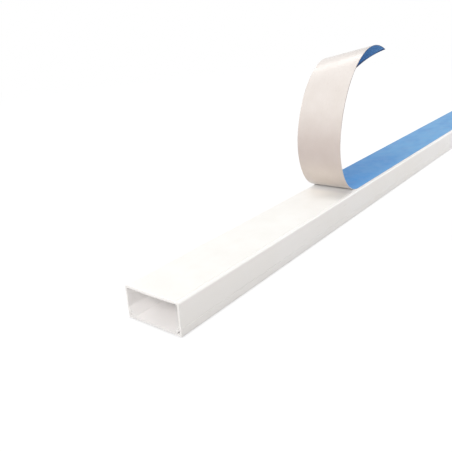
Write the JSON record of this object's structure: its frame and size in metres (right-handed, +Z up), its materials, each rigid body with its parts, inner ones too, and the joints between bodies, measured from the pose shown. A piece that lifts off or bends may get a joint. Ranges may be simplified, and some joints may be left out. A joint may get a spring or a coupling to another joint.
{
  "type": "cord cover raceway",
  "caption": "Straight self-adhesive cable raceway with a snap-fit cover; the tape's release liner is part peeled and curls up from the back.",
  "frame": {"origin": "centre of the cover's outside face, on the plane the raceway lies on", "axes": "+X along the raceway, away from the end whose liner is peeled; +Y across it; +Z up from the cover to the adhesive back"},
  "size_m": [1, 0.044, 0.1279],
  "materials": {
    "channel_pvc": "satin",
    "cover_pvc": "satin",
    "tape_foam": "matte",
    "liner_film": "satin"
  },
  "bodies": {
    "channel": {"base_channel": "channel_pvc", "adhesive_tape": "tape_foam", "release_liner": "liner_film"},
    "snap_cover": {"cover": "cover_pvc"}
  },
  "joints": [
    {"name": "cover_slide", "type": "slide", "parent": "channel", "child": "snap_cover", "axis": [1, 0, 0], "range_m": [-1, 1]}
  ]
}
